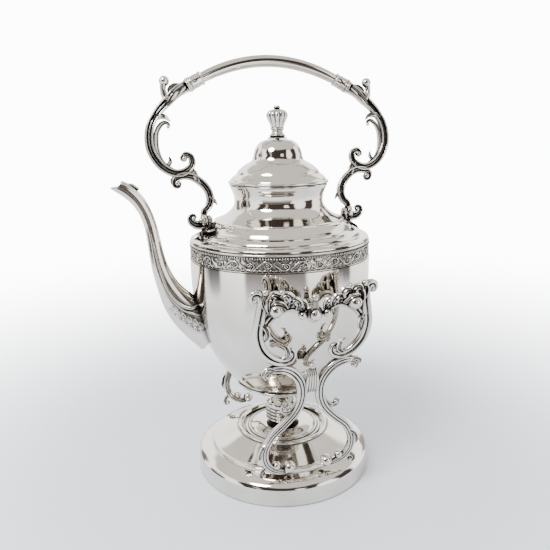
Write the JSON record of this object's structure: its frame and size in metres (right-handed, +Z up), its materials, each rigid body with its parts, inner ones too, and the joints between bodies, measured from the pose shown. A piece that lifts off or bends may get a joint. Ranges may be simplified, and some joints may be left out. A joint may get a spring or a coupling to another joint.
{
  "type": "spirit kettle on stand",
  "caption": "Silver-plated spirit kettle with a swing handle and scrolled spout, hung between two cast scroll frames on a round domed base over a small spirit lamp.",
  "frame": {"origin": "centre of the base's flat underside, on the axis of the base and the kettle", "axes": "+Z up along the kettle's axis; the spout points along -X; the two cast frames stand at -Y (front) and +Y (back)"},
  "size_m": [0.2447, 0.187, 0.3688],
  "materials": {
    "silver_plate": "polished silver plate, dark in the recesses",
    "wick_cotton": "woven cotton"
  },
  "bodies": {
    "stand": {"base_shell": "silver_plate", "base_plate": "silver_plate", "front_frame": "silver_plate", "back_frame": "silver_plate"},
    "kettle": {"bowl": "silver_plate", "bowl_lower": "silver_plate", "bowl_bottom": "silver_plate", "ornament_band": "silver_plate", "shoulder_neck": "silver_plate", "kettle_foot_ring": "silver_plate", "spout": "silver_plate", "front_trunnion": "silver_plate", "back_trunnion": "silver_plate", "left_handle_mount": "silver_plate", "right_handle_mount": "silver_plate", "left_hinge_pin": "silver_plate", "right_hinge_pin": "silver_plate"},
    "lid": {"lid_shell": "silver_plate", "lid_bezel": "silver_plate", "finial": "silver_plate", "finial_nut": "silver_plate"},
    "handle": {"grip": "silver_plate", "left_bracket": "silver_plate", "right_bracket": "silver_plate", "left_ferrule": "silver_plate", "right_ferrule": "silver_plate"},
    "lamp": {"lamp_reservoir": "silver_plate", "lamp_collar": "silver_plate", "wick_tube": "silver_plate", "wick": "wick_cotton"},
    "snuffer": {"snuffer_cap": "silver_plate"}
  },
  "joints": [
    {"name": "kettle_tilt", "type": "hinge", "parent": "stand", "child": "kettle", "pos_m": [0, 0, 0.17], "axis": [0, -1, 0], "range_deg": [0, 50]},
    {"name": "handle_swing", "type": "hinge", "parent": "kettle", "child": "handle", "pos_m": [0, 0, 0.2335], "axis": [1, 0, 0], "range_deg": [-41, 59]},
    {"name": "lid_lift", "type": "slide", "parent": "kettle", "child": "lid", "axis": [0, 0, 1], "range_m": [0, 0.02]},
    {"name": "lamp_lift", "type": "slide", "parent": "stand", "child": "lamp", "axis": [0, 0, 1], "range_m": [0, 0.006]},
    {"name": "snuffer_lift", "type": "slide", "parent": "lamp", "child": "snuffer", "axis": [0, 0, 1], "range_m": [0, 0.007]}
  ]
}
